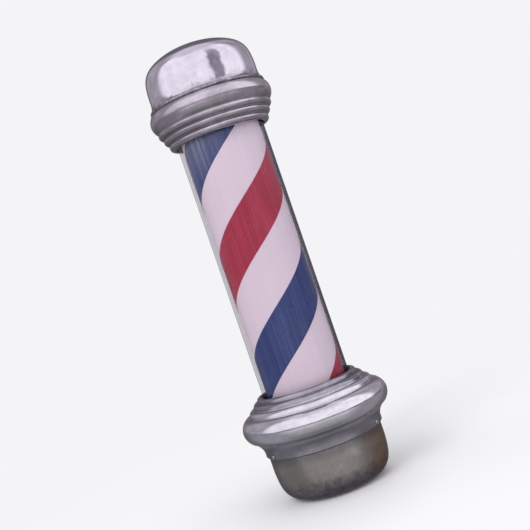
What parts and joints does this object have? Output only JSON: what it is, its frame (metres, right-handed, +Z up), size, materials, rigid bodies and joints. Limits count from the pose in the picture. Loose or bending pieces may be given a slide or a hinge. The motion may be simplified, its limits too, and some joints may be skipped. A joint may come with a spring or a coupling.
{
  "type": "barber pole light",
  "caption": "Wall-hung barber pole: a striped drum turning inside a glass cylinder, lit from within, between a chrome dome and a chrome bowl with stepped collars.",
  "frame": {"origin": "centre of the four wall screw holes, on the plane of the wall", "axes": "+Z up along the pole, +Y into the wall (the front of the pole faces -Y), +X to the right seen from the front"},
  "size_m": [0.2032, 0.2413, 0.622],
  "materials": {
    "chrome_spun": "polished",
    "chrome_cast": "polished",
    "clear_glass": "gloss",
    "black_rubber": "matte",
    "drum_white": "satin",
    "film_red": "gloss",
    "film_blue": "gloss",
    "natural_nylon": "satin",
    "plated_steel": "satin",
    "fasteners": "polished",
    "brass_turned": "satin",
    "die_cast": "matte",
    "ferrite": "matte",
    "copper_winding": "satin",
    "painted_channel": "satin",
    "black_plastic": "satin",
    "rocker_plastic": "gloss",
    "white_plastic": "satin",
    "cable_sheath": "satin",
    "lead_insulation": "satin",
    "lamp_opal": "satin",
    "lamp_metal": "satin"
  },
  "bodies": {
    "housing": {"bottom_bowl": "chrome_spun", "top_collar": "chrome_cast", "bottom_collar": "chrome_cast", "upper_arm": "chrome_cast", "lower_arm": "chrome_cast", "glass_cylinder": "clear_glass", "lower_glass_gasket": "black_rubber", "upper_glass_gasket": "black_rubber", "cable_grommet": "black_rubber", "guide_bush": "natural_nylon", "thrust_washer": "natural_nylon", "motor_plate": "plated_steel", "lamp_plate": "plated_steel", "lamp_rail": "plated_steel", "motor_can": "plated_steel", "idler_pin": "plated_steel", "bush_circlip": "plated_steel", "bowl_screws": "fasteners", "motor_plate_screws": "fasteners", "gear_case_screws": "fasteners", "lamp_plate_screws": "fasteners", "lamp_rail_screws": "fasteners", "lower_arm_bolts": "fasteners", "upper_arm_bolts": "fasteners", "shaft_bush": "brass_turned", "gear_case": "die_cast", "stator_coil": "copper_winding", "wall_channel": "painted_channel", "switch_bodies": "black_plastic", "channel_end_caps": "black_plastic", "terminal_block": "black_plastic", "lower_lampholder": "white_plastic", "upper_lampholder": "white_plastic", "lamp_driver": "white_plastic", "supply_cable": "cable_sheath", "lamp_cable": "cable_sheath", "motor_leads": "lead_insulation", "switch_leads": "lead_insulation", "lamp_leads": "lead_insulation", "lamp_tube": "lamp_opal", "lamp_caps": "lamp_metal"},
    "drum": {"drum_shell": "drum_white", "red_stripe": "film_red", "blue_stripe": "film_blue", "drum_base": "natural_nylon", "drum_head": "natural_nylon", "drive_flange": "plated_steel", "flange_screws": "fasteners", "hub_set_screw": "fasteners", "output_gear": "natural_nylon", "output_shaft": "plated_steel"},
    "idler": {"idler_gear": "natural_nylon"},
    "rotor": {"rotor_magnet": "ferrite", "rotor_shaft": "plated_steel", "rotor_pinion": "brass_turned"},
    "dome": {"top_dome": "chrome_spun", "dome_grub_screws": "fasteners"},
    "lamp_switch_rocker": {"lamp_rocker": "rocker_plastic"},
    "motor_switch_rocker": {"motor_rocker": "rocker_plastic"}
  },
  "joints": [
    {"name": "drum_spin", "type": "hinge", "parent": "housing", "child": "drum", "pos_m": [0, -0.1397, 0], "axis": [0, 0, 1], "continuous": true},
    {"name": "idler_spin", "type": "hinge", "parent": "housing", "child": "idler", "pos_m": [0.02206, -0.12119, 0], "axis": [0, 0, 1], "continuous": true},
    {"name": "rotor_spin", "type": "hinge", "parent": "housing", "child": "rotor", "pos_m": [-0.00157, -0.12536, 0], "axis": [0, 0, 1], "continuous": true},
    {"name": "dome_lift", "type": "slide", "parent": "housing", "child": "dome", "axis": [0, 0, 1], "range_m": [0, 0.12]},
    {"name": "lamp_rocker_press", "type": "hinge", "parent": "housing", "child": "lamp_switch_rocker", "pos_m": [-0.017, -0.1397, -0.3044], "axis": [0, -1, 0], "range_deg": [0, 20]},
    {"name": "motor_rocker_press", "type": "hinge", "parent": "housing", "child": "motor_switch_rocker", "pos_m": [0.017, -0.1397, -0.3044], "axis": [0, -1, 0], "range_deg": [0, 20]}
  ],
  "couplings": [
    {"joint": "idler_spin", "follows": "drum_spin", "ratio": -5},
    {"joint": "rotor_spin", "follows": "drum_spin", "ratio": 20}
  ]
}
